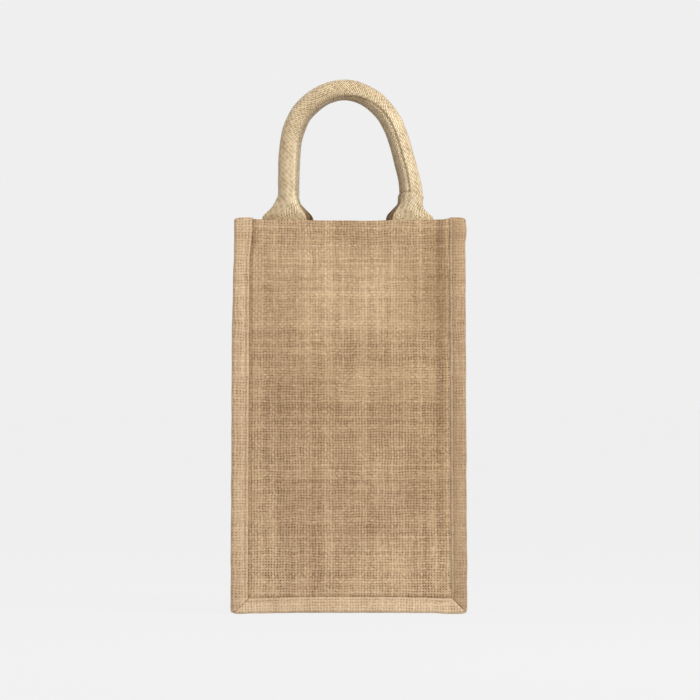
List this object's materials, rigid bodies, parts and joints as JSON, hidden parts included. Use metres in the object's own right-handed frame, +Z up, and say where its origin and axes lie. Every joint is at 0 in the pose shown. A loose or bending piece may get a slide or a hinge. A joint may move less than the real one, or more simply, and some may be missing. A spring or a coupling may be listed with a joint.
{
  "type": "wine gift bag",
  "caption": "Jute bag for two wine bottles, with bound outside seams, a hemmed rim, gussets that fold flat and padded cotton handles.",
  "frame": {"origin": "on the floor, at the middle of the bag's width and depth", "axes": "+X to the right facing the front panel, +Y from front to back, +Z up"},
  "size_m": [0.208, 0.1066, 0.4731],
  "materials": {
    "jute_cloth": "open plain weave of coarse natural jute yarn, uncoated",
    "jute_binding": "the same jute cloth cut as a folded binding strip",
    "cotton_webbing": "unbleached cotton tape in a herringbone weave",
    "cotton_cord": "soft white cotton padding cord",
    "thread": "tan sewing thread"
  },
  "bodies": {
    "back_wall": {"back_panel": "jute_cloth", "back_seam_allowance": "jute_cloth", "back_binding": "jute_binding", "back_binding_thread": "thread", "back_hem_thread": "thread", "back_handle_tails": "cotton_webbing", "back_tail_thread": "thread", "left_corner_pleat": "jute_cloth", "right_corner_pleat": "jute_cloth"},
    "left_gusset_rear": {"left_gusset_rear": "jute_cloth"},
    "left_gusset_front": {"left_gusset_front": "jute_cloth"},
    "front_wall": {"front_panel": "jute_cloth", "front_seam_allowance": "jute_cloth", "front_binding": "jute_binding", "front_binding_thread": "thread", "front_hem_thread": "thread", "front_handle_tails": "cotton_webbing", "front_tail_thread": "thread"},
    "right_gusset_rear": {"right_gusset_rear": "jute_cloth"},
    "right_gusset_front": {"right_gusset_front": "jute_cloth"},
    "base_rear": {"base_rear_leaf": "jute_cloth"},
    "base_front": {"base_front_leaf": "jute_cloth"},
    "front_handle": {"front_handle_webbing": "cotton_webbing", "front_handle_cord": "cotton_cord", "front_handle_thread": "thread"},
    "back_handle": {"back_handle_webbing": "cotton_webbing", "back_handle_cord": "cotton_cord", "back_handle_thread": "thread"}
  },
  "joints": [
    {"name": "press_flat", "type": "hinge", "parent": "back_wall", "child": "left_gusset_rear", "pos_m": [-0.0888, 0.0476, 0.18], "axis": [0, 0, 1], "range_deg": [0, 64], "deforming": ["left_corner_pleat", "right_corner_pleat"]},
    {"name": "left_gusset_middle_fold", "type": "hinge", "parent": "left_gusset_rear", "child": "left_gusset_front", "pos_m": [-0.09, 0, 0.18], "axis": [0, 0, 1], "range_deg": [-128, 0]},
    {"name": "left_front_seam_fold", "type": "hinge", "parent": "left_gusset_front", "child": "front_wall", "pos_m": [-0.0888, -0.0476, 0.18], "axis": [0, 0, 1], "range_deg": [0, 64]},
    {"name": "right_rear_seam_fold", "type": "hinge", "parent": "back_wall", "child": "right_gusset_rear", "pos_m": [0.0888, 0.0476, 0.18], "axis": [0, 0, 1], "range_deg": [-64, 0]},
    {"name": "right_gusset_middle_fold", "type": "hinge", "parent": "right_gusset_rear", "child": "right_gusset_front", "pos_m": [0.09, 0, 0.18], "axis": [0, 0, 1], "range_deg": [0, 128]},
    {"name": "base_rear_seam_fold", "type": "hinge", "parent": "back_wall", "child": "base_rear", "pos_m": [0, 0.0476, 0.014], "axis": [1, 0, 0], "range_deg": [-64, 0]},
    {"name": "base_middle_fold", "type": "hinge", "parent": "base_rear", "child": "base_front", "pos_m": [0, 0, 0.0128], "axis": [1, 0, 0], "range_deg": [0, 128]},
    {"name": "front_handle_swing", "type": "hinge", "parent": "front_wall", "child": "front_handle", "pos_m": [0, -0.0488, 0.35], "axis": [1, 0, 0], "range_deg": [0, 158]},
    {"name": "back_handle_swing", "type": "hinge", "parent": "back_wall", "child": "back_handle", "pos_m": [0, 0.0488, 0.35], "axis": [-1, 0, 0], "range_deg": [0, 158]}
  ],
  "couplings": [
    {"joint": "left_gusset_middle_fold", "follows": "press_flat", "ratio": -2},
    {"joint": "left_front_seam_fold", "follows": "press_flat", "ratio": 1},
    {"joint": "right_rear_seam_fold", "follows": "press_flat", "ratio": -1},
    {"joint": "right_gusset_middle_fold", "follows": "press_flat", "ratio": 2},
    {"joint": "base_rear_seam_fold", "follows": "press_flat", "ratio": -1},
    {"joint": "base_middle_fold", "follows": "press_flat", "ratio": 2}
  ]
}
